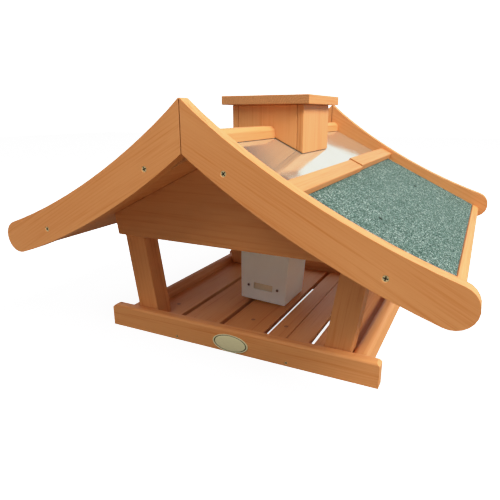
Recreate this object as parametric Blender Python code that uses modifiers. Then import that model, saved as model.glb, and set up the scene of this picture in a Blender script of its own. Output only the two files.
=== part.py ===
"""Wooden garden bird feeder: an open tray on splayed posts under a gabled roof.

A seed container stands on the slatted floor and runs up through the roof into a
wooden chimney, whose cap lifts off for filling. Metres, +Z up. X runs across the
gables, the front gable faces -Y, and the origin is the middle of the underside.
"""
import math

import bmesh
import bpy
from mathutils import Matrix, Vector

# ---- driving dimensions -------------------------------------------------------
GAP = 0.0003                # play between touching pieces
ROOF_DEPTH = 0.600          # over the outer faces of the bargeboards
BARGE_THICK = 0.018
BARGE_WIDTH = 0.0486        # width of the curved band
BARGE_SEAM = 0.0014         # open joint between the two boards of a gable
BARGE_CURVE = ((0.0, 0.3694), (0.0839, 0.2986), (0.2018, 0.2329), (0.3159, 0.1950))
BARGE_STEPS = 14
TIP_STEPS = 12
BARGE_SCREWS = ((0.056, 0.2865), (0.2425, 0.191))

ROOF_PITCH = 0.49           # fall per metre of run
ROOF_TOP = 0.3195           # top of the roof boards, produced to the ridge
ROOF_THICK = 0.0178
ROOF_RUN = 0.3045           # ridge to the inner edge of the eaves strip
FELT_THICK = 0.0022
SHEET_THICK = 0.0012
EAVES_WIDTH = 0.014
BATTEN_WIDTH = 0.025
BATTEN_THICK = (0.010, 0.012)   # front and rear lengths, which meet in a small step
BATTEN_LIFT = 0.0027        # batten underside above the roof boards
BATTEN_RUN = 0.1199         # ridge to the middle of the mid-slope batten
BATTEN_SPLIT = 0.026        # where its two lengths meet, behind the middle
BATTEN_JOINT = 0.0022       # gap between the two lengths
BATTEN_STEP = 0.0018        # the rear length lies this much nearer the ridge
RIDGE_HALF = 0.0148
RIDGE_TOP = 0.3328
RIDGE_CHAMFER = 0.006

CHIMNEY_HALF = 0.0618
CHIMNEY_WALL = 0.0105
CHIMNEY_TOP = 0.3650
CAP_HALF = 0.075
CAP_THICK = 0.014
CAP_BLOCK_HALF = 0.0475
CAP_BLOCK_THICK = 0.012

TRAY_FRONT = 0.199          # middle to the outer face of the front rail
RAIL_THICK = 0.018
RAIL_HALF = 0.2278          # front rail, which runs past the side rails
REAR_RAIL_HALF = 0.2098
RAIL_HEIGHT = 0.0373
RAIL_ROUND = 0.0045
SIDE_INNER = 0.1842
SIDE_OUTER = 0.2072
SIDE_HEIGHT = 0.033
SIDE_ROUND = 0.009

FLOOR_TOP = 0.0183
FLOOR_THICK = 0.008
FLOOR_BOARDS = ((-0.1837, -0.1204), (-0.1124, -0.0443), (-0.0363, 0.0363),
                (0.0443, 0.0755), (0.0767, 0.1124), (0.1204, 0.1837))
CLEAT_WIDTHS = (0.032, 0.070)   # front and rear

POST_OUTER = 0.179          # outer face, produced down to the underside
POST_SPLAY = 0.1514         # outward lean per metre of height
POST_WIDTH = 0.0385
POST_DEPTH = 0.0353
POST_ROUND = 0.003
GABLE_BOTTOM = 0.1645
GABLE_THICK = 0.0165
GABLE_INSET = 0.002         # its ends, inside the posts' outer faces

SILO_PROFILE = ((0.0, 0.0443), (0.085, 0.0470), (0.316, 0.0478))   # height, half width
SILO_WALL = 0.002
SILO_ROUND = 0.003
SILO_LEAN = math.radians(3.0)
SILO_SHIFT = (-0.0165, 0.0030)   # foot centre, off the middle because it stands loose
OUTLET = (0.037, 0.0124)    # width and height of a seed outlet
OUTLET_Z = 0.0285           # its middle above the foot
PLATE = (0.070, 0.022, 0.0015)   # metering plate behind an outlet, shut
SILO_SCREW_X = 0.0285
SILO_SCREW_SEAT = 0.0457    # underside of the screw heads, from the container's axis

BADGE = (0.0305, 0.0145, 0.0012)
BADGE_CENTRE = (0.0035, 0.0155)
RAIL_SCREW_X = 0.0955
RAIL_SCREW_Z = 0.0052

WOOD = (0.52, 0.27, 0.12)
WOOD_DARK = (0.36, 0.17, 0.075)
SCREW_SIDES = 12
CUT_OVERRUN = 0.004

COS_PITCH = 1 / math.hypot(1, ROOF_PITCH)
INNER = ROOF_DEPTH / 2 - BARGE_THICK - GAP
POST_FACE = TRAY_FRONT - RAIL_THICK


# ---- scene, materials and collections ----------------------------------------
def clear_scene():
    for obj in list(bpy.data.objects):
        bpy.data.objects.remove(obj, do_unlink=True)


def collection(name):
    found = bpy.data.collections.get(name)
    if found is None:
        found = bpy.data.collections.new(name)
        bpy.context.scene.collection.children.link(found)
    return found


def material(name, colour, roughness=0.6, metallic=0.0):
    found = bpy.data.materials.get(name)
    if found is None:
        found = bpy.data.materials.new(name)
        found.use_nodes = True
        shader = found.node_tree.nodes["Principled BSDF"]
        shader.inputs["Base Color"].default_value = (*colour, 1.0)
        shader.inputs["Roughness"].default_value = roughness
        shader.inputs["Metallic"].default_value = metallic
    return found


def add(name, mesh, mat, matrix=None, home="bird_feeder"):
    obj = bpy.data.objects.new(name, mesh)
    if mat is not None:
        mesh.materials.clear()
        mesh.materials.append(mat)
    obj.matrix_world = matrix or Matrix.Identity(4)
    collection(home).objects.link(obj)
    return obj


def cutter(name, mesh, matrix=None):
    obj = add(name, mesh, None, matrix, home="cutters")
    obj.hide_render = True
    obj.display_type = "WIRE"
    return obj


def cut(obj, tool):
    mod = obj.modifiers.new("cut_" + tool.name, "BOOLEAN")
    mod.operation = "DIFFERENCE"
    mod.solver = "EXACT"
    mod.object = tool


# ---- shapes ------------------------------------------------------------------
def box_mesh(name, low, high):
    """A cube primitive stretched between two corners."""
    low, high = Vector(low), Vector(high)
    bm = bmesh.new()
    bmesh.ops.create_cube(bm, size=1.0)
    bmesh.ops.scale(bm, vec=high - low, verts=bm.verts)
    bmesh.ops.translate(bm, vec=(high + low) / 2, verts=bm.verts)
    mesh = bpy.data.meshes.new(name)
    bm.to_mesh(mesh)
    bm.free()
    return mesh


def box(name, low, high, mat):
    return add(name, box_mesh(name, low, high), mat)


def filleted(points, radii, steps=4):
    """Replace each corner that has a radius by an arc."""
    outline = []
    count = len(points)
    for i, radius in enumerate(radii):
        corner = Vector(points[i])
        if radius <= 0:
            outline.append(corner)
            continue
        before = (Vector(points[i - 1]) - corner).normalized()
        after = (Vector(points[(i + 1) % count]) - corner).normalized()
        half = before.angle(after) / 2
        reach = radius / math.tan(half)
        centre = corner + (before + after).normalized() * (radius / math.sin(half))
        start = corner + before * reach - centre
        sweep = (corner + after * reach - centre).angle_signed(start)
        for k in range(steps + 1):
            turn = Matrix.Rotation(sweep * k / steps, 2)
            outline.append(centre + turn @ start)
    return outline


PLANES = {
    "XZ": Matrix(((1, 0, 0), (0, 0, -1), (0, 1, 0))).to_4x4(),
    "YZ": Matrix(((0, 0, 1), (1, 0, 0), (0, 1, 0))).to_4x4(),
}


def outline_mesh(name, points, thickness):
    """A filled 2D curve extruded both ways, turned into a welded mesh."""
    curve = bpy.data.curves.new(name, "CURVE")
    curve.dimensions = "2D"
    curve.fill_mode = "BOTH"
    curve.extrude = thickness / 2
    spline = curve.splines.new("POLY")
    spline.points.add(len(points) - 1)
    for target, point in zip(spline.points, points):
        target.co = (point[0], point[1], 0.0, 1.0)
    spline.use_cyclic_u = True
    holder = bpy.data.objects.new(name + "_outline", curve)
    bpy.context.scene.collection.objects.link(holder)
    depsgraph = bpy.context.evaluated_depsgraph_get()
    mesh = bpy.data.meshes.new_from_object(holder.evaluated_get(depsgraph))
    bpy.data.objects.remove(holder, do_unlink=True)
    bm = bmesh.new()
    bm.from_mesh(mesh)
    bmesh.ops.remove_doubles(bm, verts=bm.verts, dist=0.00001)
    bmesh.ops.recalc_face_normals(bm, faces=bm.faces)
    bm.to_mesh(mesh)
    bm.free()
    mesh.name = name
    return mesh


def slab(name, points, low, high, mat, plane="XZ"):
    """An outline in a world plane, extruded from low to high across it."""
    turn = PLANES[plane]
    across = turn.to_3x3() @ Vector((0, 0, 1))
    sign = 1 if sum(across) > 0 else -1
    centre = Matrix.Translation(across * sign * (low + high) / 2)
    return add(name, outline_mesh(name, points, high - low), mat, centre @ turn)


def mirrored(points):
    return [(-p[0], p[1]) for p in reversed(points)]


def rod_mesh(name, profile, sides=SCREW_SIDES):
    """A turned piece: a profile of (radius, height) spun by a Screw modifier."""
    mesh = bpy.data.meshes.new(name)
    verts = [(radius, 0.0, height) for radius, height in profile]
    mesh.from_pydata(verts, [(i, i + 1) for i in range(len(verts) - 1)], [])
    holder = bpy.data.objects.new(name + "_profile", mesh)
    bpy.context.scene.collection.objects.link(holder)
    spin = holder.modifiers.new("spin", "SCREW")
    spin.steps = spin.render_steps = sides
    spin.use_merge_vertices = True
    spin.merge_threshold = 0.00001
    depsgraph = bpy.context.evaluated_depsgraph_get()
    turned = bpy.data.meshes.new_from_object(holder.evaluated_get(depsgraph))
    bpy.data.objects.remove(holder, do_unlink=True)
    bm = bmesh.new()
    bm.from_mesh(turned)
    bmesh.ops.remove_doubles(bm, verts=bm.verts, dist=0.00001)
    bmesh.ops.recalc_face_normals(bm, faces=bm.faces)
    bm.to_mesh(turned)
    bm.free()
    turned.shade_smooth()
    turned.set_sharp_from_angle(angle=math.radians(40))
    return turned


def fasteners(name, mesh, places, mat):
    """One object for each place, all sharing a mesh."""
    for i, place in enumerate(places, start=1):
        add(f"{name}_{i}", mesh, mat, place)


def hole_cutter(name, mesh, places):
    """Copies of one hole at several places, as a single cutter."""
    bm = bmesh.new()
    for place in places:
        copy = mesh.copy()
        copy.transform(place)
        bm.from_mesh(copy)
        bpy.data.meshes.remove(copy)
    joined = bpy.data.meshes.new(name)
    bm.to_mesh(joined)
    bm.free()
    return cutter(name, joined)


# ---- roof geometry -----------------------------------------------------------
def roof_z(x, above=0.0):
    """Height of the plane lying `above` the roof boards' top, square to it."""
    return ROOF_TOP + above / COS_PITCH - ROOF_PITCH * abs(x)


def slope_strip(start, end, bottom, top):
    """Outline on the right slope between two runs and two offsets from the boards."""
    normal = Vector((ROOF_PITCH, 1.0)).normalized()
    points = []
    for run, off in ((start, bottom), (end, bottom), (end, top), (start, top)):
        points.append(Vector((run, roof_z(run))) + normal * off)
    return [tuple(p) for p in points]


def both_slopes(name, outline, low, high, mat):
    """The same outline on the right and left slopes, as two objects."""
    right = slab("right_" + name, outline, low, high, mat)
    left = slab("left_" + name, mirrored(outline), low, high, mat)
    return left, right


def barge_point(t):
    """Point and outward normal of the bargeboard's upper edge."""
    a, b, c, d = (Vector(p) for p in BARGE_CURVE)
    s = 1 - t
    point = a * s**3 + b * (3 * s * s * t) + c * (3 * s * t * t) + d * t**3
    tangent = (b - a) * s * s + (c - b) * (2 * s * t) + (d - c) * t * t
    return point, Vector((-tangent.y, tangent.x)).normalized()


def barge_outline():
    """Right-hand bargeboard: a curved band, plumb at the ridge and round at the tip."""
    seam = BARGE_SEAM / 2
    upper, lower = [], []
    for i in range(BARGE_STEPS + 1):
        point, normal = barge_point(i / BARGE_STEPS)
        upper.append(point)
        lower.append(point - normal * BARGE_WIDTH)
    upper[0] = Vector((seam, upper[0].y))
    while lower[1].x < seam:
        lower.pop(0)
    share = (seam - lower[0].x) / (lower[1].x - lower[0].x)
    lower[0] = lower[0].lerp(lower[1], share)
    middle = (upper[-1] + lower[-1]) / 2
    tip = [middle + Matrix.Rotation(-math.pi * k / TIP_STEPS, 2) @ (upper[-1] - middle)
           for k in range(1, TIP_STEPS)]
    return upper + tip + lower[::-1]


# ---- screws ------------------------------------------------------------------
def countersunk(head, shank, length, play=0.0):
    """Countersunk screw or its hole, head at z = 0 and shank running down."""
    rise = play and CUT_OVERRUN
    depth = head - shank
    profile = [(0.0, rise)] + ([(head + play, rise)] if play else [])
    profile += [(head + play, 0.0), (shank + play, -depth), (shank + play, -length - play),
                (0.0, -length - play)]
    return rod_mesh("countersunk", profile)


def pan_screw(head, rise, shank, length, sides=SCREW_SIDES):
    profile = [(0.0, rise), (head * 0.7, rise * 0.85), (head, rise * 0.25), (head, 0.0),
               (shank, 0.0), (shank, -length), (0.0, -length)]
    return rod_mesh("pan_screw", profile, sides)


def facing(direction, place):
    """Matrix that turns a screw's +Z to a direction and moves it to a place."""
    turn = Vector((0, 0, 1)).rotation_difference(Vector(direction)).to_matrix().to_4x4()
    return Matrix.Translation(Vector(place)) @ turn


# ---- the pieces --------------------------------------------------------------
def make_tray(wood, dark):
    rail_profile = filleted(
        [(-RAIL_THICK / 2, 0), (RAIL_THICK / 2, 0),
         (RAIL_THICK / 2, RAIL_HEIGHT), (-RAIL_THICK / 2, RAIL_HEIGHT)],
        [0, 0, 0.004, 0.004], steps=3)
    rails = []
    for side, sign, half in (("front", -1, RAIL_HALF), ("rear", 1, REAR_RAIL_HALF)):
        middle = sign * (TRAY_FRONT - RAIL_THICK / 2)
        outline = [(p[0] + middle, p[1]) for p in rail_profile]
        rail = slab(side + "_rail", outline, -half, half, wood, plane="YZ")
        round_rail_ends(rail, middle, half)
        rails.append(rail)
    side_profile = filleted(
        [(SIDE_INNER, 0), (SIDE_OUTER, 0), (SIDE_OUTER, SIDE_HEIGHT), (SIDE_INNER, SIDE_HEIGHT)],
        [0, 0, SIDE_ROUND, SIDE_ROUND], steps=4)
    reach = POST_FACE - GAP
    slab("right_side_rail", side_profile, -reach, reach, wood)
    slab("left_side_rail", mirrored(side_profile), -reach, reach, wood)
    for i, (left, right) in enumerate(FLOOR_BOARDS, start=1):
        box(f"floor_board_{i}", (left, -reach, FLOOR_TOP - FLOOR_THICK),
            (right, reach, FLOOR_TOP), dark)
    under = FLOOR_TOP - FLOOR_THICK - GAP
    half = SIDE_INNER - 2 * GAP
    front = box("front_floor_cleat", (-half, -reach, 0),
                (half, CLEAT_WIDTHS[0] - reach, under), dark)
    box("rear_floor_cleat", (-half, reach - CLEAT_WIDTHS[1], 0), (half, reach, under), dark)
    return rails[0], front


def round_rail_ends(rail, middle, half):
    """Clip the two upper corners of a rail to a small chamfer."""
    size = RAIL_ROUND
    for name, sign in (("left", -1), ("right", 1)):
        corner = Vector((sign * half, RAIL_HEIGHT))
        out = CUT_OVERRUN
        points = [corner + Vector((-sign * (size + out), out)), corner + Vector((sign * out, out)),
                  corner + Vector((sign * out, -size - out))]
        if sign > 0:
            points.reverse()
        mesh = outline_mesh("clip", points, RAIL_THICK + 2 * out)
        place = Matrix.Translation((0, middle, 0)) @ PLANES["XZ"]
        cut(rail, cutter(f"{rail.name}_{name}_clip", mesh, place))


def make_posts(wood):
    foot = FLOOR_TOP + GAP

    def outer(z):
        return POST_OUTER + POST_SPLAY * z

    def under_roof(offset):
        """Where a face leaning outwards from `offset` meets the roof's underside."""
        soffit = ROOF_TOP - (ROOF_THICK + GAP) / COS_PITCH
        z = (soffit - ROOF_PITCH * offset) / (1 + ROOF_PITCH * POST_SPLAY)
        return (offset + POST_SPLAY * z, z)

    points = [(outer(foot) - POST_WIDTH, foot), (outer(foot), foot),
              under_roof(POST_OUTER), under_roof(POST_OUTER - POST_WIDTH)]
    near, far = POST_FACE - POST_DEPTH, POST_FACE - GAP
    for side, outline in (("right", points), ("left", mirrored(points))):
        for end, low, high in (("front", -far, -near), ("rear", near, far)):
            post = slab(f"{end}_{side}_post", outline, low, high, wood)
            rounding = post.modifiers.new("rounding", "BEVEL")
            rounding.width = POST_ROUND
            rounding.segments = 2
            rounding.limit_method = "ANGLE"
            rounding.angle_limit = math.radians(60)


def make_gables(wood):
    soffit = ROOF_TOP - (ROOF_THICK + GAP) / COS_PITCH
    end = POST_OUTER - GABLE_INSET
    foot = end + POST_SPLAY * GABLE_BOTTOM
    top = (soffit - ROOF_PITCH * end) / (1 + ROOF_PITCH * POST_SPLAY)
    edge = end + POST_SPLAY * top
    points = [(-foot, GABLE_BOTTOM), (foot, GABLE_BOTTOM), (edge, top), (0, soffit), (-edge, top)]
    near, far = POST_FACE, POST_FACE + GABLE_THICK
    slab("front_gable_panel", points, -far, -near, wood)
    slab("rear_gable_panel", points, near, far, wood)


def make_roof(wood, dark, felt, steel):
    boards = both_slopes("roof_board", plumb(slope_strip(0, ROOF_RUN, -ROOF_THICK, 0)),
                         -INNER, INNER, dark)
    inner_wall = CHIMNEY_HALF - CHIMNEY_WALL
    well = cutter("silo_well", box_mesh("silo_well", (-inner_wall, -inner_wall, 0.2),
                                        (inner_wall, inner_wall, 0.4)))
    middle = BATTEN_RUN
    sheets = both_slopes("ridge_sheet", plumb(slope_strip(0, middle, GAP, GAP + SHEET_THICK)),
                         -INNER, INNER, steel)
    for piece in boards + sheets:
        cut(piece, well)
    lap = GAP * 2
    edge = ROOF_RUN - GAP
    both_slopes("roof_felt", slope_strip(middle + lap, edge, GAP, FELT_THICK),
                -INNER, INNER, felt)
    strip = slope_strip(ROOF_RUN + GAP, ROOF_RUN + EAVES_WIDTH * COS_PITCH + GAP,
                        -ROOF_THICK, FELT_THICK)
    both_slopes("eaves_strip", filleted(strip, [0, 0.002, 0.005, 0.002], steps=3),
                -INNER, INNER, wood)
    half = BATTEN_WIDTH / 2 * COS_PITCH
    joint = BATTEN_JOINT / 2
    lengths = (("front", middle, -INNER, BATTEN_SPLIT - joint),
               ("rear", middle - BATTEN_STEP, BATTEN_SPLIT + joint, INNER))
    for thick, (end, run, low, high) in zip(BATTEN_THICK, lengths):
        strip = slope_strip(run - half, run + half, BATTEN_LIFT, BATTEN_LIFT + thick)
        batten = filleted(strip, [0, 0, 0.001, 0.001], steps=1)
        both_slopes(end + "_mid_batten", batten, low, high, wood)
    return boards


def plumb(points):
    """Cut an outline that starts at the ridge to a plumb face beside the middle."""
    low_start, low_end, high_end, high_start = (Vector(p) for p in points)
    seam = GAP / 2
    low = low_start + (low_end - low_start) * ((seam - low_start.x) / (low_end.x - low_start.x))
    high = high_start + (high_end - high_start) * (
        (seam - high_start.x) / (high_end.x - high_start.x))
    return [tuple(low), tuple(low_end), tuple(high_end), tuple(high)]


def make_ridge(wood):
    over = SHEET_THICK + 3 * GAP
    half, top, chamfer = RIDGE_HALF, RIDGE_TOP, RIDGE_CHAMFER
    points = [(-half, roof_z(half, over)), (0, roof_z(0, over)), (half, roof_z(half, over)),
              (half, top - chamfer), (half - chamfer, top), (chamfer - half, top),
              (-half, top - chamfer)]
    end = CHIMNEY_HALF + GAP
    slab("front_ridge_batten", points, -INNER, -end, wood)
    slab("rear_ridge_batten", points, end, INNER, wood)


def make_chimney(wood, dark):
    half, wall, top = CHIMNEY_HALF, CHIMNEY_WALL, CHIMNEY_TOP
    over = SHEET_THICK + 3 * GAP
    inner = half - wall
    side = [(inner, roof_z(inner, over)), (half, roof_z(half, over)), (half, top), (inner, top)]
    slab("chimney_right_board", side, -half, half, wood)
    slab("chimney_left_board", mirrored(side), -half, half, wood)
    edge = inner - GAP
    across = [(-edge, roof_z(edge, over)), (0, roof_z(0, over)), (edge, roof_z(edge, over)),
              (edge, top), (-edge, top)]
    slab("chimney_front_board", across, -half, -inner, wood)
    slab("chimney_rear_board", across, inner, half, wood)
    low = top + GAP
    box("chimney_cap", (-CAP_HALF, -CAP_HALF, low), (CAP_HALF, CAP_HALF, low + CAP_THICK), wood)
    block = CAP_BLOCK_HALF
    box("cap_locating_block", (-block, -block, top - CAP_BLOCK_THICK), (block, block, top), dark)


def make_bargeboards(wood):
    outline = barge_outline()
    front = (-ROOF_DEPTH / 2, BARGE_THICK - ROOF_DEPTH / 2)
    rear = (ROOF_DEPTH / 2 - BARGE_THICK, ROOF_DEPTH / 2)
    boards = []
    for end, (low, high) in (("front", front), ("rear", rear)):
        boards.append(slab(f"{end}_right_bargeboard", outline, low, high, wood))
        boards.append(slab(f"{end}_left_bargeboard", mirrored(outline), low, high, wood))
    return boards


def silo_half(height):
    """Half width of the container at a height above its foot."""
    for (low, start), (high, end) in zip(SILO_PROFILE, SILO_PROFILE[1:]):
        if height <= high:
            break
    return start + (end - start) * (height - low) / (high - low)


def silo_shell():
    """Open-topped tapered box, steeper below the knee of its profile."""
    knee, height = SILO_PROFILE[1][0], SILO_PROFILE[2][0]
    bm = bmesh.new()
    bmesh.ops.create_cube(bm, size=2.0)
    for vert in bm.verts:
        vert.co.z = max(vert.co.z, 0) * height
    bmesh.ops.bisect_plane(bm, geom=bm.verts[:] + bm.edges[:] + bm.faces[:],
                           plane_co=(0, 0, knee), plane_no=(0, 0, 1))
    for vert in bm.verts:
        half = silo_half(vert.co.z)
        vert.co.x *= half
        vert.co.y *= half
    bm.normal_update()
    lid = [face for face in bm.faces if face.normal.z > 0.9]
    bmesh.ops.delete(bm, geom=lid, context="FACES_ONLY")
    mesh = bpy.data.meshes.new("seed_silo")
    bm.to_mesh(mesh)
    bm.free()
    return mesh


def make_silo(plastic, plate_mat):
    """The container, leaning a little, with a shuttered outlet front and rear."""
    foot = silo_half(0.0)
    rise = FLOOR_TOP + 2 * GAP + foot * math.sin(SILO_LEAN)
    place = Matrix.Translation((*SILO_SHIFT, rise)) @ Matrix.Rotation(SILO_LEAN, 4, "Y")
    silo = add("seed_silo", silo_shell(), plastic, place)
    rounding = silo.modifiers.new("rounding", "BEVEL")
    rounding.width = SILO_ROUND
    rounding.segments = 2
    rounding.limit_method = "ANGLE"
    shell = silo.modifiers.new("wall", "SOLIDIFY")
    shell.thickness = SILO_WALL
    shell.offset = -1.0

    reach = SILO_PROFILE[1][1] + CUT_OVERRUN
    width, height = OUTLET[0] / 2, OUTLET[1] / 2
    slot = box_mesh("outlets", (-width, -reach, OUTLET_Z - height),
                    (width, reach, OUTLET_Z + height))
    cut(silo, cutter("outlet_slots", slot, place))
    head, shank, length = 0.0027, 0.0012, 0.006
    screw = pan_screw(head, 0.0014, shank, length, sides=10)
    bore, above, below = shank + GAP, CUT_OVERRUN, -length - CUT_OVERRUN
    hole = rod_mesh("hole", [(0, above), (bore, above), (bore, below), (0, below)], 10)
    screws = []
    for sign in (-1, 1):
        for x in (-SILO_SCREW_X, SILO_SCREW_X):
            seat = Vector((x, sign * SILO_SCREW_SEAT, OUTLET_Z))
            screws.append(place @ facing((0, sign, 0), seat))
    fasteners("silo_screw", screw, screws, plate_mat["screw"])
    holes = hole_cutter("silo_screw_holes", hole, screws)
    cut(silo, holes)
    for end, sign in (("front", -1), ("rear", 1)):
        face = sign * (foot - SILO_WALL - 2 * GAP)
        back = face - sign * PLATE[2]
        low, high = min(face, back), max(face, back)
        plate = box_mesh("plate", (-PLATE[0] / 2, low, OUTLET_Z - PLATE[1] / 2),
                         (PLATE[0] / 2, high, OUTLET_Z + PLATE[1] / 2))
        cut(add(f"{end}_outlet_plate", plate, plate_mat["plate"], place), holes)


def make_fasteners(steel, brass, rail, cleat, boards, roof_boards):
    """Bargeboard screws and front rail screws, each with its hole."""
    head, shank, length = 0.0037, 0.0017, 0.034
    places = []
    for sign in (-1, 1):
        for x, z in BARGE_SCREWS:
            for side in (-1, 1):
                places.append(facing((0, sign, 0), (side * x, sign * (ROOF_DEPTH / 2 - GAP), z)))
    fasteners("bargeboard_screw", countersunk(head, shank, length), places, brass)
    holes = hole_cutter("bargeboard_screw_holes", countersunk(head, shank, length, GAP), places)
    for board in boards + list(roof_boards):
        cut(board, holes)

    head, shank, length = 0.0022, 0.0011, 0.030
    places = []
    for x in (-RAIL_SCREW_X, RAIL_SCREW_X):
        places.append(facing((0, -1, 0), (x, GAP - TRAY_FRONT, RAIL_SCREW_Z)))
    fasteners("rail_screw", countersunk(head, shank, length), places, steel)
    holes = hole_cutter("rail_screw_holes", countersunk(head, shank, length, GAP), places)
    cut(rail, holes)
    cut(cleat, holes)


def make_badge(mat):
    """Blank oval plate on the front rail."""
    steps = 32
    points = []
    for i in range(steps):
        angle = 2 * math.pi * i / steps
        points.append((BADGE_CENTRE[0] + BADGE[0] * math.cos(angle),
                       BADGE_CENTRE[1] + BADGE[1] * math.sin(angle)))
    back = -TRAY_FRONT - GAP
    slab("oval_badge", points, back - BADGE[2], back, mat)


def build():
    clear_scene()
    wood = material("stained_wood", WOOD)
    dark = material("inner_wood", WOOD_DARK)
    felt = material("mineral_felt", (0.16, 0.26, 0.21), 0.95)
    bright = material("polished_sheet", (0.82, 0.87, 0.86), 0.05, 1.0)
    plastic = material("translucent_plastic", (0.75, 0.74, 0.68), 0.35)
    grey = material("grey_plastic", (0.45, 0.44, 0.40), 0.5)
    steel = material("zinc_steel", (0.55, 0.55, 0.52), 0.35, 1.0)
    brass = material("brass_screw", (0.75, 0.62, 0.30), 0.3, 1.0)
    green = material("badge_enamel", (0.25, 0.42, 0.25), 0.3)
    front_rail, front_cleat = make_tray(wood, dark)
    make_posts(wood)
    make_gables(wood)
    roof_boards = make_roof(wood, dark, felt, bright)
    make_ridge(wood)
    make_chimney(wood, dark)
    boards = make_bargeboards(wood)
    make_silo(plastic, {"plate": grey, "screw": steel})
    make_fasteners(steel, brass, front_rail, front_cleat, boards, roof_boards)
    make_badge(green)


build()
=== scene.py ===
import math
import random

import bmesh
import bpy
from mathutils import Euler, Matrix, Vector, noise


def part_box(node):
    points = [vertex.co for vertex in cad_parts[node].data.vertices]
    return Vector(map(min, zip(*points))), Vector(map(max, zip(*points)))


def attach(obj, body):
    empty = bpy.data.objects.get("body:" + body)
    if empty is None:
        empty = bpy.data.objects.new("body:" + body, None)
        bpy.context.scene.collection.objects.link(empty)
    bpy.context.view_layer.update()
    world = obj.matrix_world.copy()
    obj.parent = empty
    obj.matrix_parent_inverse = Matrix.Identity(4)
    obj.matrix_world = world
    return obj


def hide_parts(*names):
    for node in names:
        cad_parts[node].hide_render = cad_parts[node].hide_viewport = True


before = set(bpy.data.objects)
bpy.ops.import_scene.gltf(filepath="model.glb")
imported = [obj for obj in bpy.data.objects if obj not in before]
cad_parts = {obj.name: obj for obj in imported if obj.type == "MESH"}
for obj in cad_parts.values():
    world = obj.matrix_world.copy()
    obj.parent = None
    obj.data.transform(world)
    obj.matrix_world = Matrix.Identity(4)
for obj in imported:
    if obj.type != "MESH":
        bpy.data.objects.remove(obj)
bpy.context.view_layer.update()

HOUSE = "house"

# ---- camera and light ---------------------------------------------------------
CAMERA_PLACE = (0.3186, -0.7522, 0.3509)
CAMERA_YAW, CAMERA_PITCH, CAMERA_ROLL = 26.58, -16.50, -0.2155   # degrees
CAMERA_LENS = 33.24
CAMERA_SHIFT = (-0.0044, 0.0019)
LAMPS = (                              # name, direction towards it, width, power
    ("key_softbox", (0.746, -0.172, 0.643), 2.6, 590.0),
    ("front_softbox", (-0.10, -0.66, 0.75), 3.4, 118.0),
)
LAMP_DISTANCE = 6.0
LAMP_AIM = (0.0, 0.0, 0.2)             # point that the lamps face, inside the house
SKY_UP, SKY_LEVEL, SKY_REAR = 0.42, 0.34, 0.62
BACKDROP = 2.3                         # seen by the camera only, a clean white
FLOOR_SIZE = 14.0
FLOOR_GLOW = 1.25
BOUNCE = (0.22, 0.185, 0.14)           # colour of the table as the house sees it
SHOULDER = ((0.0, 0.0), (0.25, 0.5), (0.40, 0.76), (0.475, 0.855), (0.625, 0.925),
            (0.80, 0.975), (1.0, 1.0))
SHOULDER_WHITE = 2.0                   # brightness that the picture shows as white

# ---- colours, linear ----------------------------------------------------------
STAIN_LIGHT = (0.74, 0.335, 0.122)
STAIN_DARK = (0.53, 0.160, 0.034)
END_LIGHT = (0.58, 0.26, 0.098)
END_DARK = (0.34, 0.13, 0.042)
KNOT_DARK = (0.16, 0.05, 0.02)
SHEET_COLOUR = (0.79, 0.83, 0.69)
SILO_COLOUR = (0.92, 0.99, 0.92)
# lighter than the plate's own beige: painted light against the shade behind the slots
PLATE_COLOUR_WITH_PAINTED_LIGHT = (0.80, 0.70, 0.50)
BRASS_COLOUR = (0.90, 0.76, 0.42)
NAIL_COLOUR = (0.035, 0.045, 0.04)
# near-black painted shade for the faces down in the screws' cross recesses
RECESS_SHADE_COLOUR = (0.05, 0.042, 0.025)
BADGE_FACE = (0.86, 0.80, 0.48)
BADGE_LINE = (0.05, 0.05, 0.025)
ZINC_COLOUR = (0.52, 0.51, 0.47)
FLOOR_COLOUR = (0.80, 0.80, 0.80)
WHITE = (1.0, 1.0, 1.0)

# ---- wood figure --------------------------------------------------------------
RINGS_PER_METRE = 260.0
RING_WANDER = 0.010
EARLY_TONE = 0.25                      # darkness where one ring meets the next
LATE_PLACE = 0.9                       # place of the darkest late wood within a ring
PITH_NEAR, PITH_FAR = 0.05, 0.11       # distance of the pith from a board's middle
LATE_SHARE, FIBRE_SHARE, STREAK_SHARE, BLOTCH_SHARE = 0.20, 0.30, 0.42, 0.70
KNOT_STAIN = 0.85

# ---- kept boards ---------------------------------------------------------------
WELD_DISTANCE = 0.000002
FLAT_ANGLE = 0.2                       # degrees, below which faces count as one
BEVEL_ANGLE = 32                       # degrees, above which an edge is rounded
BEVEL_STEPS = 3
SMOOTH_ANGLE = 40
EDGE_ROUND = 0.0012
FINE_EDGES = {"floor_board": 0.0004, "mid_batten": 0.0008, "ridge_batten": 0.0006,
              "cleat": 0.0004}

# ---- roofing -------------------------------------------------------------------
ROOF_PITCH = 0.49                      # rise of the slope per metre of run
GRANULES_PER_METRE = 980.0
FELT_THICK = 0.0019
FELT_GRID = 0.0025
FELT_SHORT = 0.0005                    # open joint between the felt and the eaves strip
FELT_RAGGED = 0.0005                   # most that a cut edge wanders inwards
FELT_SEEDS = {"right": 3, "left": 29}
NAIL_X, NAIL_Y = 0.205, 0.155
NAIL_HEAD = (0.0032, 0.0009)           # radius, height
NAIL_SUNK = 0.0002                     # how far a nail's underside sits below the felt's top

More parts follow.
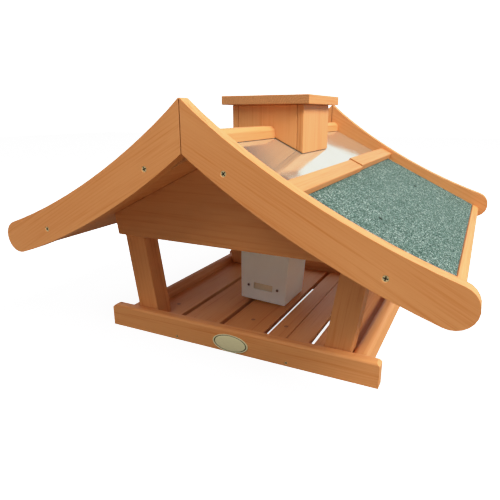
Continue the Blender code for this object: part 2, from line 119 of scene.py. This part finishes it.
# ---- screws: radius, dome, depth of the cross, length under the rim -------------
BARGE_HEAD = (0.0036, 0.00022, 0.0016, 0.0022)
RAIL_HEAD = (0.0022, 0.00012, 0.0010, 0.0014)
REAR_RAIL_HEAD = (0.0022, 0.00012, 0.0007, 0.0008)
PAN_HEAD = (0.0027, 0.0006, 0.0009, 0.0008)
FLUSH_SEAT = 0.0002                    # rim of a countersunk head below its CAD face
REAR_SCREW_PROUD = 0.0009              # rim of a rear rail screw beyond the rail's box
HEAD_SIDES, NAIL_SIDES, BADGE_SIDES = 64, 28, 72
HEAD_RINGS = 16

# ---- badge: (share of the radius, share of the thickness) from middle to back ---
BADGE_PROFILE = ((0.0, 0.95), (0.25, 0.94), (0.5, 0.90), (0.72, 0.82), (0.84, 0.72),
                 (0.86, 0.58), (0.925, 0.58), (0.94, 0.92), (0.965, 1.0), (0.985, 0.9),
                 (1.0, 0.55), (1.0, 0.0), (0.0, 0.0))
BADGE_LINE_BAND = 5                    # the sunk band that is painted dark


# ---- node helper --------------------------------------------------------------
class Graph:
    """A material's node tree, with one short call for each kind of node."""

    def __init__(self, name, tree=None):
        if tree is None:
            self.material = bpy.data.materials.new(name)
            self.material.use_nodes = True
            tree = self.material.node_tree
            self.shader = tree.nodes["Principled BSDF"]
        self.tree = tree

    def feed(self, socket, value):
        if isinstance(value, bpy.types.NodeSocket):
            self.tree.links.new(value, socket)
        elif hasattr(socket.default_value, "__len__") and len(socket.default_value) == 4:
            socket.default_value = (*value, 1.0)[:4]
        else:
            socket.default_value = value

    def add(self, kind, inputs=None, **settings):
        node = self.tree.nodes.new("ShaderNode" + kind)
        for key, value in settings.items():
            setattr(node, key, value)
        for key, value in (inputs or {}).items():
            self.feed(node.inputs[key], value)
        return node

    def set(self, **inputs):
        for key, value in inputs.items():
            self.feed(self.shader.inputs[key.replace("_", " ")], value)

    def math(self, operation, a, b=0.0, clamp=False):
        node = self.add("Math", {0: a, 1: b}, operation=operation, use_clamp=clamp)
        return node.outputs[0]

    def total(self, *terms):
        """Sum of (socket, weight) pairs, clamped to 0..1."""
        result = 0.0
        for socket, weight in terms:
            node = self.add("Math", {0: socket, 1: weight, 2: result}, operation="MULTIPLY_ADD")
            result = node.outputs[0]
        return self.math("ADD", result, 0.0, clamp=True)

    def mix(self, factor, a, b):
        node = self.add("Mix", data_type="RGBA")
        for key, value in ((0, factor), (6, a), (7, b)):
            self.feed(node.inputs[key], value)
        return node.outputs[2]

    def ramp(self, value, stops):
        """Colour ramp: stops are (position, grey or colour)."""
        node = self.add("ValToRGB", {0: value})
        points = node.color_ramp.elements
        while len(points) < len(stops):
            points.new(0.5)
        for point, (position, colour) in zip(points, stops):
            point.position = position
            point.color = (*colour, 1.0) if hasattr(colour, "__len__") else (colour,) * 3 + (1.0,)
        return node.outputs[0]

    def span(self, value, low, high, start, end):
        node = self.add("MapRange", {0: value, 1: low, 2: high, 3: start, 4: end})
        return node.outputs[0]

    def noise(self, vector, scale, detail=2.0, roughness=0.5):
        node = self.add("TexNoise", {"Vector": vector, "Scale": scale, "Detail": detail,
                                     "Roughness": roughness})
        return node.outputs[0]

    def moved(self, vector, location=(0, 0, 0), rotation=(0, 0, 0), scale=(1, 1, 1)):
        node = self.add("Mapping", {"Vector": vector, "Location": location,
                                    "Rotation": rotation, "Scale": scale})
        return node.outputs[0]

    def bump(self, height, distance, strength=1.0):
        node = self.add("Bump", {"Height": height, "Distance": distance, "Strength": strength})
        self.set(Normal=node.outputs[0])


# ---- materials ----------------------------------------------------------------
def shaded(colour, tone):
    return tuple(part * tone for part in colour)


def knot_distance(g, place, centre, axis):
    """Distance of a point from a knot's axis."""
    offset = g.add("VectorMath", {0: place, 1: centre}, operation="SUBTRACT").outputs[0]
    across = g.add("VectorMath", {0: offset, 1: axis}, operation="CROSS_PRODUCT").outputs[0]
    return g.add("VectorMath", {0: across}, operation="LENGTH").outputs["Value"]


def wood(name, node, along, seed, tone=1.0, knots=()):
    """Stained softwood: growth rings round a pith beside the board, fibres and end grain."""
    g = Graph(name)
    rng = random.Random(seed)
    low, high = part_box(node)
    along = Vector(along).normalized()
    turn = along.rotation_difference(Vector((0, 0, 1)))
    middle = turn @ ((low + high) / 2)
    bearing, reach = rng.uniform(0, math.tau), rng.uniform(PITH_NEAR, PITH_FAR)
    pith = Vector((math.cos(bearing) * reach, math.sin(bearing) * reach, rng.uniform(0, 9)))

    coord = g.add("TexCoord")
    place = coord.outputs["Object"]
    board = g.moved(place, pith - middle, turn.to_euler())
    slow = g.moved(board, scale=(1, 1, 0.14))
    fast = g.moved(board, scale=(1, 1, 0.025))
    wander = g.math("MULTIPLY", g.math("SUBTRACT", g.noise(slow, 11.0), 0.5), RING_WANDER)
    parts = g.add("SeparateXYZ", {0: board})
    flat = g.add("CombineXYZ", {0: parts.outputs[0], 1: parts.outputs[1]}).outputs[0]
    radius = g.add("VectorMath", {0: flat}, operation="LENGTH").outputs["Value"]
    radius = g.math("ADD", radius, wander)

    knot_mask = None
    for centre, axis, size in knots:
        away = g.math("DIVIDE", knot_distance(g, place, centre, axis), size)
        push = g.math("EXPONENT", g.math("MULTIPLY", g.math("MULTIPLY", away, away), -0.22))
        radius = g.math("ADD", radius, g.math("MULTIPLY", push, size * 1.6))
        mask = g.ramp(away, [(0.0, 0.75), (0.7, 0.6), (0.95, 1.0), (1.0, 0.0)])
        knot_mask = mask if knot_mask is None else g.math("MAXIMUM", knot_mask, mask)

    phase = g.math("FRACT", g.math("MULTIPLY", radius, RINGS_PER_METRE))
    ring = g.ramp(phase, [(0.0, EARLY_TONE), (0.12, 0.0), (0.55, 0.2), (LATE_PLACE, 1.0),
                          (1.0, EARLY_TONE)])
    fade = g.ramp(g.noise(slow, 30.0, 1.0), [(0.35, 0.15), (0.65, 1.0)])
    late = g.math("MULTIPLY", ring, fade)
    fibre = g.noise(fast, 700.0, 3.0, 0.6)
    streak = g.ramp(g.noise(fast, 230.0, 3.0, 0.6), [(0.55, 0.0), (0.72, 1.0)])
    blotch = g.noise(slow, 15.0, 3.0)
    depth = g.total((late, LATE_SHARE), (fibre, FIBRE_SHARE), (streak, STREAK_SHARE),
                    (g.math("SUBTRACT", blotch, 0.2), BLOTCH_SHARE))
    colour = g.mix(depth, shaded(STAIN_LIGHT, tone), shaded(STAIN_DARK, tone))
    if knot_mask is not None:
        colour = g.mix(g.math("MULTIPLY", knot_mask, KNOT_STAIN), colour, KNOT_DARK)

    facing = g.add("VectorMath", {0: coord.outputs["Normal"], 1: along},
                   operation="DOT_PRODUCT").outputs["Value"]
    end = g.span(g.math("ABSOLUTE", facing), 0.80, 0.95, 0.0, 1.0)
    speck = g.noise(board, 620.0, 3.0, 0.7)
    speck = g.total((g.ramp(speck, [(0.38, 0.0), (0.62, 1.0)]), 0.6), (late, 0.4))
    end_grain = g.mix(speck, shaded(END_LIGHT, tone), shaded(END_DARK, tone))
    g.set(Base_Color=g.mix(end, colour, end_grain),
          Roughness=g.span(g.math("ADD", fibre, blotch), 0.6, 1.4, 0.46, 0.66),
          Specular_IOR_Level=0.35)
    g.bump(g.total((late, 0.35), (fibre, 0.65)), 0.00015, 0.55)
    return g.material


def mineral_felt():
    """Bitumen felt: green slate granules of mixed brightness, in faint patches."""
    g = Graph("mineral_felt")
    place = g.add("TexCoord").outputs["Object"]
    grain = g.add("TexVoronoi", {"Vector": place, "Scale": GRANULES_PER_METRE})
    tint = g.add("SeparateColor", {0: grain.outputs["Color"]}).outputs[0]
    patch = g.noise(place, 60.0, 3.0)
    tint = g.math("ADD", tint, g.math("MULTIPLY", g.math("SUBTRACT", patch, 0.5), 0.2))
    colour = g.ramp(tint, [(0.0, (0.006, 0.019, 0.014)), (0.34, (0.020, 0.050, 0.038)),
                           (0.60, (0.050, 0.108, 0.084)), (0.85, (0.130, 0.213, 0.175)),
                           (1.0, (0.55, 0.64, 0.57))])
    g.set(Base_Color=colour, Roughness=g.span(tint, 0.0, 1.0, 0.95, 0.7))
    g.bump(g.math("SUBTRACT", 1.0, grain.outputs["Distance"]), 0.0007, 0.8)
    return g.material


def polished_sheet():
    """Bright rolled metal: slightly wavy, with faint handling haze."""
    g = Graph("polished_sheet")
    place = g.add("TexCoord").outputs["Object"]
    haze = g.noise(place, 26.0, 4.0)
    wave = g.noise(g.moved(place, scale=(1.0, 0.5, 1.0)), 13.0, 1.0)
    g.set(Base_Color=g.mix(haze, shaded(SHEET_COLOUR, 1.03), shaded(SHEET_COLOUR, 0.94)),
          Metallic=0.86, Roughness=g.span(haze, 0.35, 0.7, 0.06, 0.17))
    g.bump(wave, 0.0015, 0.45)
    return g.material


def milky_plastic():
    """Translucent white plastic with faint vertical flow lines."""
    g = Graph("silo_plastic")
    place = g.add("TexCoord").outputs["Object"]
    cloud = g.noise(place, 18.0, 3.0)
    flow = g.noise(g.moved(place, scale=(1.0, 1.0, 0.15)), 120.0, 2.0)
    g.set(Base_Color=g.mix(cloud, shaded(SILO_COLOUR, 1.04), shaded(SILO_COLOUR, 0.95)),
          Roughness=g.span(flow, 0.3, 0.7, 0.34, 0.46),
          Subsurface_Weight=0.22, Subsurface_Radius=(0.006, 0.005, 0.004),
          Subsurface_Scale=1.0)
    g.bump(flow, 0.0001, 0.4)
    return g.material


def plate_plastic():
    """Fine-grained beige plastic, lightened beyond the plate's own colour as painted light
    against the shade it sits in behind the slots.
    """
    g = Graph("plate_plastic")
    place = g.add("TexCoord").outputs["Object"]
    grit = g.noise(place, 900.0, 2.0)
    g.set(Base_Color=g.mix(grit, shaded(PLATE_COLOUR_WITH_PAINTED_LIGHT, 1.1), shaded(PLATE_COLOUR_WITH_PAINTED_LIGHT, 0.85)),
          Roughness=g.span(grit, 0.3, 0.7, 0.45, 0.6))
    g.bump(grit, 0.0001, 0.5)
    return g.material


def metal(name, colour, roughness, metallic=0.7):
    """Screw metal with fine scratches."""
    g = Graph(name)
    place = g.add("TexCoord").outputs["Object"]
    scratch = g.noise(g.moved(place, scale=(1.0, 0.2, 1.0)), 2600.0, 3.0)
    g.set(Base_Color=g.mix(scratch, shaded(colour, 1.15), shaded(colour, 0.8)),
          Metallic=metallic,
          Roughness=g.span(scratch, 0.3, 0.7, roughness, roughness + 0.2))
    g.bump(scratch, 0.00004, 0.6)
    return g.material


def badge_metal(name, colour, metallic, roughness):
    """Lacquered metal, brushed along the badge's length."""
    g = Graph(name)
    place = g.add("TexCoord").outputs["Object"]
    brushed = g.noise(g.moved(place, scale=(0.06, 1.0, 1.0)), 2400.0, 3.0)
    g.set(Base_Color=g.mix(brushed, shaded(colour, 1.12), shaded(colour, 0.86)),
          Metallic=metallic, Roughness=g.span(brushed, 0.3, 0.7, roughness, roughness + 0.15))
    g.bump(brushed, 0.00003, 0.5)
    return g.material


# ---- CAD nodes kept, with rounded edges and a finish ---------------------------
def smoothing_group():
    """Geometry nodes that shade smooth up to an angle."""
    tree = bpy.data.node_groups.new("smooth_by_angle", "GeometryNodeTree")
    tree.interface.new_socket("Geometry", in_out="INPUT", socket_type="NodeSocketGeometry")
    tree.interface.new_socket("Geometry", in_out="OUTPUT", socket_type="NodeSocketGeometry")
    start, end = tree.nodes.new("NodeGroupInput"), tree.nodes.new("NodeGroupOutput")
    angle = tree.nodes.new("GeometryNodeInputMeshEdgeAngle")
    small = tree.nodes.new("FunctionNodeCompare")
    small.operation = "LESS_THAN"
    small.inputs[1].default_value = math.radians(SMOOTH_ANGLE)
    faces = tree.nodes.new("GeometryNodeSetShadeSmooth")
    edges = tree.nodes.new("GeometryNodeSetShadeSmooth")
    edges.domain = "EDGE"
    tree.links.new(start.outputs[0], faces.inputs[0])
    tree.links.new(faces.outputs[0], edges.inputs[0])
    tree.links.new(angle.outputs[0], small.inputs[0])
    tree.links.new(small.outputs[0], edges.inputs["Shade Smooth"])
    tree.links.new(edges.outputs[0], end.inputs[0])
    return tree


def finish_node(node, material, smoothing, rounding=0.0):
    """Weld and clean the imported mesh by modifiers, round its edges, and give it a finish."""
    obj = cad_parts[node]
    weld = obj.modifiers.new("weld", "WELD")
    weld.merge_threshold = WELD_DISTANCE
    clean = obj.modifiers.new("clean", "DECIMATE")
    clean.decimate_type = "DISSOLVE"
    clean.angle_limit = math.radians(FLAT_ANGLE)
    if rounding:
        bevel = obj.modifiers.new("rounding", "BEVEL")
        bevel.width = rounding
        bevel.segments = BEVEL_STEPS
        bevel.limit_method = "ANGLE"
        bevel.angle_limit = math.radians(BEVEL_ANGLE)
    shade = obj.modifiers.new("shading", "NODES")
    shade.node_group = smoothing
    normals = obj.modifiers.new("normals", "WEIGHTED_NORMAL")
    normals.keep_sharp = True
    obj.data.materials.clear()
    obj.data.materials.append(material)


# Grain direction of each board, by the axis its length runs along
ALONG_X = ["front_rail", "rear_rail", "front_gable_panel", "rear_gable_panel",
           "front_floor_cleat", "rear_floor_cleat"]
ALONG_Y = ["left_side_rail", "right_side_rail", "left_roof_board", "right_roof_board",
           "left_eaves_strip", "right_eaves_strip", "left_front_mid_batten",
           "left_rear_mid_batten", "right_front_mid_batten", "right_rear_mid_batten",
           "front_ridge_batten", "rear_ridge_batten", "chimney_cap", "cap_locating_block",
           *(f"floor_board_{i}" for i in range(1, 7))]
ALONG_Z = ["chimney_front_board", "chimney_rear_board", "chimney_left_board",
           "chimney_right_board"]
BARGE_FALL = 0.55            # fall of a bargeboard's chord per metre of run
POST_SPLAY = 0.1514          # lean of a post per metre of height
# Stain brightness of some boards, raised or lowered until each came out as bright as it should
# under these lamps: painted light and shade
PAINTED_LIGHT_AND_SHADE = {"chimney_front_board": 1.12, "chimney_left_board": 1.06,
         "front_gable_panel": 0.92, "rear_gable_panel": 0.92,
         "front_right_post": 0.88, "front_left_post": 1.08,
         "front_rail": 1.04, "right_side_rail": 0.90,
         **{f"{side}_{end}_mid_batten": 0.88
            for side in ("left", "right") for end in ("front", "rear")}}


def grain_directions():
    """Table of board to grain direction; its order sets each board's seed."""
    table = {node: (1, 0, 0) for node in ALONG_X}
    table.update({node: (0, 1, 0) for node in ALONG_Y})
    table.update({node: (0, 0, 1) for node in ALONG_Z})
    for end in ("front", "rear"):
        for side, sign in (("left", -1), ("right", 1)):
            table[f"{end}_{side}_bargeboard"] = (sign, 0, -BARGE_FALL)
            table[f"{end}_{side}_post"] = (sign * POST_SPLAY, 0, 1)
    return table


def knots_for(node):
    """A few small knots on boards that would have them: (centre, axis, radius)."""
    low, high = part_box(node)
    middle = (low + high) / 2
    span = high - low
    if node.startswith("floor_board"):
        side = 0.28 if node.endswith(("2", "5")) else -0.31
        return [((middle.x, middle.y + span.y * side, middle.z), (0, 0, 1), 0.0035)]
    if node.endswith("roof_board"):
        normal = Vector((math.copysign(ROOF_PITCH, middle.x), 0, 1)).normalized()
        return [((middle.x, middle.y + span.y * share, middle.z), normal, 0.006)
                for share in (-0.3, 0.12, 0.37)]
    if node == "rear_gable_panel":
        return [((middle.x + 0.06, middle.y, low.z + 0.03), (0, 1, 0), 0.005)]
    if node == "rear_left_bargeboard":
        return [((-0.15, middle.y, 0.235), (0, 1, 0), 0.004)]
    return []


def dress_boards(smoothing):
    for seed, (node, along) in enumerate(grain_directions().items(), start=11):
        # each board's stain is scaled by its painted light and shade factor
        finish = wood("wood_" + node, node, along, seed, PAINTED_LIGHT_AND_SHADE.get(node, 1.0),
                      knots=knots_for(node))
        rounding = next((size for part, size in FINE_EDGES.items() if part in node), EDGE_ROUND)
        finish_node(node, finish, smoothing, rounding)


# ---- new pieces ----------------------------------------------------------------
def piece(name, mesh, finishes, body, replaces=(), matrix=None):
    """Put a mesh in the scene, riding on a body and in place of the CAD nodes named."""
    for finish in finishes:
        mesh.materials.append(finish)
    obj = bpy.data.objects.new(name, mesh)
    bpy.context.scene.collection.objects.link(obj)
    if matrix is not None:
        obj.matrix_world = matrix
    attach(obj, body)
    if replaces:
        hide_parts(*replaces)
    return obj


def mesh_from(bm, name, smooth_angle=40):
    bmesh.ops.recalc_face_normals(bm, faces=bm.faces)
    mesh = bpy.data.meshes.new(name)
    bm.to_mesh(mesh)
    bm.free()
    mesh.shade_smooth()
    mesh.set_sharp_from_angle(angle=math.radians(smooth_angle))
    return mesh


def join_rows(bm, rows):
    """Skin between rows of vertices, with fans at single ones; gives each band's faces."""
    bands = []
    for upper, lower in zip(rows, rows[1:]):
        band = []
        count = max(len(upper), len(lower))
        for k in range(count):
            after = (k + 1) % count
            if len(upper) == 1:
                corners = (upper[0], lower[k], lower[after])
            elif len(lower) == 1:
                corners = (upper[k], lower[0], upper[after])
            else:
                corners = (upper[k], lower[k], lower[after], upper[after])
            band.append(bm.faces.new(corners))
        bands.append(band)
    return bands


def around(sides, share):
    """Cosine and sine of each point round a ring; a ring of no size has one point."""
    for k in range(sides if share > 0 else 1):
        angle = math.tau * k / sides
        yield math.cos(angle), math.sin(angle)


def lathe_rings(bm, rings, sides):
    """Closed skin over rings of (radius, height function)."""
    rows = []
    for radius, height in rings:
        spots = [(radius * c, radius * s) for c, s in around(sides, radius)]
        rows.append([bm.verts.new((x, y, height(x, y))) for x, y in spots])
    join_rows(bm, rows)


def cross_head_mesh(radius, rise, recess, skirt):
    """Screw head with a cross recess; z = 0 at the rim and the recess below the dome."""
    arm_length, arm_half, wall = radius * 0.74, radius * 0.15, radius * 0.10

    def top(x, y):
        dome = rise * (1 - (x * x + y * y) / radius**2)
        inside = 0.0
        for long, short in ((abs(x), abs(y)), (abs(y), abs(x))):
            edge = min(arm_length - long, arm_half - short)
            inside = max(inside, min(max(edge / wall + 1, 0), 1))
        centre = 1 - 0.5 * min(math.hypot(x, y) / arm_length, 1)
        return dome - recess * inside * centre

    bm = bmesh.new()
    rings = [(radius * k / HEAD_RINGS * 0.96, top) for k in range(HEAD_RINGS + 1)]
    rings += [(radius, lambda x, y: -0.0001), (radius, lambda x, y: -skirt * 0.4),
              (radius * 0.55, lambda x, y: -skirt), (0, lambda x, y: -skirt)]
    lathe_rings(bm, rings, HEAD_SIDES)
    # faces sunk into the cross take the second slot, a near-black painted shade
    for face in bm.faces:
        x, y, z = face.calc_center_median()
        sunk = rise * (1 - (x * x + y * y) / radius**2) - z
        face.material_index = 1 if sunk > recess * 0.2 and math.hypot(x, y) < radius * 0.9 else 0
    return mesh_from(bm, "cross_head", 30)


def nail_mesh(radius, rise, seed):
    """Hammered felt nail: a flat head with a slightly uneven face."""
    def top(x, y):
        dent = noise.noise(Vector((x * 900, y * 900, seed)))
        return rise * (1 - 0.35 * (x * x + y * y) / radius**2) + dent * rise * 0.12

    bm = bmesh.new()
    rings = [(radius * k / 6, top) for k in range(6)]
    rings += [(radius * 0.97, lambda x, y: rise * 0.55), (radius, lambda x, y: rise * 0.25),
              (radius * 0.97, lambda x, y: 0.0), (0, lambda x, y: 0.0)]
    lathe_rings(bm, rings, NAIL_SIDES)
    return mesh_from(bm, "nail_head", 50)


def on_face(place, outward, spin):
    """Matrix that stands a +Z piece on a face, turned by spin about the face's normal."""
    turn = Vector((0, 0, 1)).rotation_difference(Vector(outward)).to_matrix().to_4x4()
    return Matrix.Translation(Vector(place)) @ turn @ Matrix.Rotation(spin, 4, "Z")


def head_place(node, inset=0.0):
    """Middle of a screw's outer face and its outward direction, along Y."""
    low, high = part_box(node)
    sign = -1 if low.y + high.y < 0 else 1
    y = (low.y if sign < 0 else high.y) - sign * inset
    return Vector(((low.x + high.x) / 2, y, (low.z + high.z) / 2)), (0, sign, 0)


def make_screws():
    """Cross-headed screws: brass in the bargeboards and rails, zinc in the container."""
    rng = random.Random(5)
    # second finish of each screw: painted shade down in the cross recess
    recess_shade = metal("recess_painted_shade", RECESS_SHADE_COLOUR, 0.6, 0.0)
    brass = [metal("brass_screw", BRASS_COLOUR, 0.42), recess_shade]
    zinc = [metal("zinc_screw", ZINC_COLOUR, 0.45), recess_shade]

    def replace_screw(name, mesh, finishes, node, seat):
        place, outward = head_place(node, seat)
        piece(name, mesh, finishes, HOUSE, [node],
              on_face(place, outward, rng.uniform(0, math.pi)))
        return place

    barge_head = cross_head_mesh(*BARGE_HEAD)
    for i in range(1, 9):
        replace_screw(f"brass_cross_screw_{i}", barge_head.copy(), brass,
                      f"bargeboard_screw_{i}", FLUSH_SEAT)
    rail_head = cross_head_mesh(*RAIL_HEAD)
    for i in (1, 2):
        place = replace_screw(f"front_rail_cross_screw_{i}", rail_head.copy(), brass,
                              f"rail_screw_{i}", FLUSH_SEAT)
        rear = Vector((place.x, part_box("rear_rail")[1].y + REAR_SCREW_PROUD, place.z))
        piece(f"rear_rail_cross_screw_{i}", cross_head_mesh(*REAR_RAIL_HEAD), brass,
              HOUSE, matrix=on_face(rear, (0, 1, 0), rng.uniform(0, math.pi)))
    pan_head = cross_head_mesh(*PAN_HEAD)
    pan_rise = PAN_HEAD[1]
    for i in range(1, 5):
        replace_screw(f"container_cross_screw_{i}", pan_head.copy(), zinc,
                      f"silo_screw_{i}", pan_rise)


def slope_frame(side):
    """Top of the felt's underside, the way down the slope, the upward normal, the length."""
    sign = 1 if side == "right" else -1
    low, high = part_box(side + "_roof_felt")
    cosine = 1 / math.hypot(1, ROOF_PITCH)
    sine = ROOF_PITCH * cosine
    inner, outer = sorted((abs(low.x), abs(high.x)))
    start = Vector((sign * inner, 0, high.z - cosine * FELT_THICK))
    length = (outer - inner - sine * FELT_THICK) / cosine - FELT_SHORT
    return start, Vector((sign * cosine, 0, -sine)), Vector((sign * sine, 0, cosine)), length


def felt_height(u, v, seed):
    """Top of the felt over its underside: gentle waves and the unevenness of the granules."""
    wave = noise.noise(Vector((u * 22, v * 14, seed)))
    grit = noise.noise(Vector((u * 900, v * 900, seed + 7)))
    return FELT_THICK - 0.0003 + wave * 0.0002 + grit * 0.00016


def make_felt(side, finish):
    """A cut strip of felt as a fine closed grid, its free edges a little ragged."""
    seed = FELT_SEEDS[side]
    start, down, normal, length = slope_frame(side)
    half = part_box(side + "_roof_felt")[1].y
    across, rows = math.ceil(length / FELT_GRID), math.ceil(2 * half / FELT_GRID)
    bm = bmesh.new()
    top, bottom = [], []
    for i in range(across + 1):
        for j in range(rows + 1):
            u, v = length * i / across, half * (2 * j / rows - 1)
            ragged = FELT_RAGGED * abs(noise.noise(Vector((u * 160, v * 160, seed))))
            u_cut = min(max(u, ragged), length - ragged)
            v_cut = min(max(v, ragged - half), half - ragged)
            foot = start + down * u_cut + Vector((0, v_cut, 0))
            top.append(bm.verts.new(foot + normal * felt_height(u, v, seed)))
            bottom.append(bm.verts.new(foot))
    width = rows + 1

    def quad(layer, i, j):
        return [layer[i * width + j], layer[(i + 1) * width + j],
                layer[(i + 1) * width + j + 1], layer[i * width + j + 1]]

    for i in range(across):
        for j in range(rows):
            bm.faces.new(quad(top, i, j))
            bm.faces.new(reversed(quad(bottom, i, j)))
    rim = [(i, 0) for i in range(across)] + [(across, j) for j in range(rows)]
    rim += [(i, rows) for i in range(across, 0, -1)] + [(0, j) for j in range(rows, 0, -1)]
    for (i, j), (k, m) in zip(rim, rim[1:] + rim[:1]):
        a, b = i * width + j, k * width + m
        bm.faces.new((top[a], bottom[a], bottom[b], top[b]))
    mesh = mesh_from(bm, side + "_felt", 80)
    piece(side + "_mineral_felt", mesh, [finish], HOUSE, [side + "_roof_felt"])
    return start, down, normal


def make_roofing():
    """Both strips of felt, each with two nails."""
    finish = mineral_felt()
    nail_metal = metal("felt_nail", NAIL_COLOUR, 0.6)
    for side, sign in (("right", 1), ("left", -1)):
        start, down, normal = make_felt(side, finish)
        run = (NAIL_X - abs(start.x)) / abs(down.x)
        for i, y in enumerate((-NAIL_Y, NAIL_Y), start=1):
            place = start + down * run + Vector((0, y, 0)) + normal * (FELT_THICK - NAIL_SUNK)
            mesh = nail_mesh(*NAIL_HEAD, seed=sign * i)
            piece(f"{side}_felt_nail_{i}", mesh, [nail_metal], HOUSE,
                  matrix=on_face(place, normal, i))


def make_badge():
    """Blank oval plate: a thin rim, a dark line inside it and a slightly domed face."""
    low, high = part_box("oval_badge")
    half_x, half_z = (high.x - low.x) / 2, (high.z - low.z) / 2
    thick = high.y - low.y
    bm = bmesh.new()
    rows = [[bm.verts.new((half_x * share * c, half_z * share * s, thick * height))
             for c, s in around(BADGE_SIDES, share)] for share, height in BADGE_PROFILE]
    for face in join_rows(bm, rows)[BADGE_LINE_BAND]:
        face.material_index = 1
    mesh = mesh_from(bm, "blank_badge", 50)
    finishes = [badge_metal("badge_face", BADGE_FACE, 0.25, 0.32),
                badge_metal("badge_line", BADGE_LINE, 0.0, 0.45)]
    middle = Vector(((low.x + high.x) / 2, high.y, (low.z + high.z) / 2))
    piece("blank_oval_badge", mesh, finishes, HOUSE, ["oval_badge"],
          Matrix.Translation(middle) @ Matrix.Rotation(math.radians(90), 4, "X"))


# ---- stage ---------------------------------------------------------------------
def make_camera():
    """Camera at the feeder's front right, a little above it."""
    camera = bpy.data.objects.new("camera", bpy.data.cameras.new("camera"))
    camera.data.lens = CAMERA_LENS
    camera.data.shift_x, camera.data.shift_y = CAMERA_SHIFT
    camera.data.clip_start = 0.05
    turn = Euler((math.radians(90 + CAMERA_PITCH), 0, math.radians(CAMERA_YAW)))
    camera.matrix_world = (Matrix.Translation(Vector(CAMERA_PLACE)) @ turn.to_matrix().to_4x4()
                           @ Matrix.Rotation(math.radians(CAMERA_ROLL), 4, "Z"))
    bpy.context.scene.collection.objects.link(camera)
    bpy.context.scene.camera = camera


def make_lamps():
    """Two round softboxes, out of sight and out of reflections."""
    for name, direction, width, power in LAMPS:
        lamp = bpy.data.lights.new(name, "AREA")
        lamp.shape = "DISK"
        lamp.size = width
        lamp.energy = power
        light = bpy.data.objects.new(name, lamp)
        toward = Vector(direction).normalized()
        light.location = toward * LAMP_DISTANCE + Vector(LAMP_AIM)
        light.rotation_euler = toward.to_track_quat("Z", "Y").to_euler()
        light.visible_glossy = False
        bpy.context.scene.collection.objects.link(light)


def make_sky():
    """White studio: brighter above and behind than in front, and plain white to look at."""
    world = bpy.data.worlds.new("studio")
    world.use_nodes = True
    tree = world.node_tree
    tree.nodes.clear()
    g = Graph("studio", tree)
    parts = g.add("SeparateXYZ", {0: g.add("TexCoord").outputs["Generated"]})
    level = g.span(parts.outputs[2], 0.0, 0.9, SKY_LEVEL, SKY_UP)
    rear = g.span(parts.outputs[1], 0.05, 0.85, 0.0, SKY_REAR)
    light = g.add("Background", {"Color": WHITE, "Strength": g.math("ADD", level, rear)})
    plain = g.add("Background", {"Color": WHITE, "Strength": BACKDROP})
    seen = g.add("LightPath").outputs["Is Camera Ray"]
    both = g.add("MixShader", {0: seen, 1: light.outputs[0], 2: plain.outputs[0]})
    out = g.add("OutputWorld", {"Surface": both.outputs[0]})
    out.is_active_output = True
    bpy.context.scene.world = world


def ground(name, height, colour, glow):
    """A wide level plane of the stage, which casts no shadow."""
    bm = bmesh.new()
    bmesh.ops.create_grid(bm, x_segments=1, y_segments=1, size=FLOOR_SIZE / 2)
    mesh = bpy.data.meshes.new(name)
    bm.to_mesh(mesh)
    bm.free()
    g = Graph(name)
    g.set(Base_Color=colour, Roughness=0.9, Specular_IOR_Level=0.0,
          Emission_Color=WHITE, Emission_Strength=glow)
    mesh.materials.append(g.material)
    floor = bpy.data.objects.new(name, mesh)
    floor.location.z = height
    floor.visible_shadow = False
    bpy.context.scene.collection.objects.link(floor)
    return floor


def make_floor():
    """The white table that is seen, and a darker one that only lights the house."""
    table = ground("table", -0.0005, FLOOR_COLOUR, FLOOR_GLOW)
    table.visible_diffuse = False
    table.visible_glossy = False
    bounce = ground("bounce_card", -0.0010, BOUNCE, 0.0)
    bounce.visible_camera = False


def soften_highlights():
    """Film-like shoulder, so that sunlit wood turns yellow before it burns out."""
    view = bpy.context.scene.view_settings
    view.view_transform = "Standard"
    view.use_curve_mapping = True
    mapping = view.curve_mapping
    mapping.white_level = (SHOULDER_WHITE,) * 3
    curve = mapping.curves[3]
    for place in SHOULDER[1:-1]:
        curve.points.new(*place)
    mapping.update()


def main():
    soften_highlights()
    make_camera()
    make_lamps()
    make_sky()
    make_floor()
    smoothing = smoothing_group()
    dress_boards(smoothing)
    sheet = polished_sheet()
    for side in ("left", "right"):
        finish_node(side + "_ridge_sheet", sheet, smoothing)
    finish_node("seed_silo", milky_plastic(), smoothing)
    plate = plate_plastic()
    for end in ("front", "rear"):
        finish_node(end + "_outlet_plate", plate, smoothing)
    make_screws()
    make_roofing()
    make_badge()


main()
